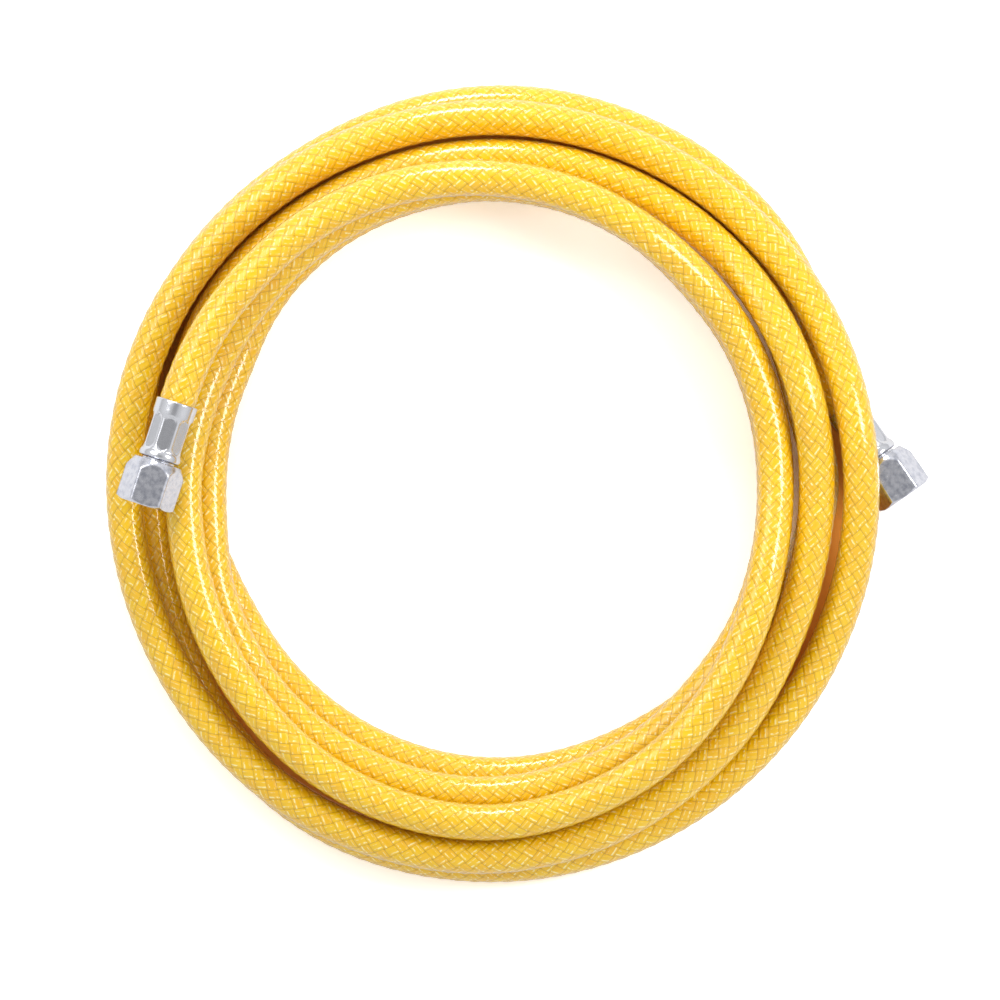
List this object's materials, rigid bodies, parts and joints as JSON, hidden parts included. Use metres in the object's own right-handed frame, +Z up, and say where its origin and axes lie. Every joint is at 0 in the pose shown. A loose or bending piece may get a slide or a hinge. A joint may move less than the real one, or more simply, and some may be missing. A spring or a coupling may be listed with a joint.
{
  "type": "flexible hose",
  "caption": "Coiled flexible gas hose with textile-braid relief, a crimped steel ferrule and a swivelling hexagon union nut on each end.",
  "frame": {"origin": "middle of the coil's outline, in the plane that the coil lies on", "axes": "+Z up along the coil's axis, the hose lies in turns round it; fitting a is on the -X side on top, fitting b on the +X side at the bottom"},
  "size_m": [0.3777, 0.3649, 0.0695],
  "materials": {
    "yellow_pvc": "glossy yellow PVC skin over a woven braid that shows as relief",
    "zinc_steel": "bright zinc-plated steel, faintly mottled",
    "black_rubber": "matt black rubber"
  },
  "bodies": {
    "hose_assembly": {"hose": "yellow_pvc", "ferrule_a": "zinc_steel", "ferrule_b": "zinc_steel", "hose_tail_a": "zinc_steel", "hose_tail_b": "zinc_steel", "sealing_gasket_a": "black_rubber", "sealing_gasket_b": "black_rubber"},
    "union_nut_a": {"union_nut_a": "zinc_steel"},
    "union_nut_b": {"union_nut_b": "zinc_steel"}
  },
  "joints": [
    {"name": "nut_a_swivel", "type": "hinge", "parent": "hose_assembly", "child": "union_nut_a", "pos_m": [-0.16408, 0.00989, 0.0575], "axis": [-0.3081, -0.9514, 0], "continuous": true},
    {"name": "nut_b_swivel", "type": "hinge", "parent": "hose_assembly", "child": "union_nut_b", "pos_m": [0.16627, 0.0113, 0.0143], "axis": [0.5708, -0.8211, 0], "continuous": true}
  ]
}
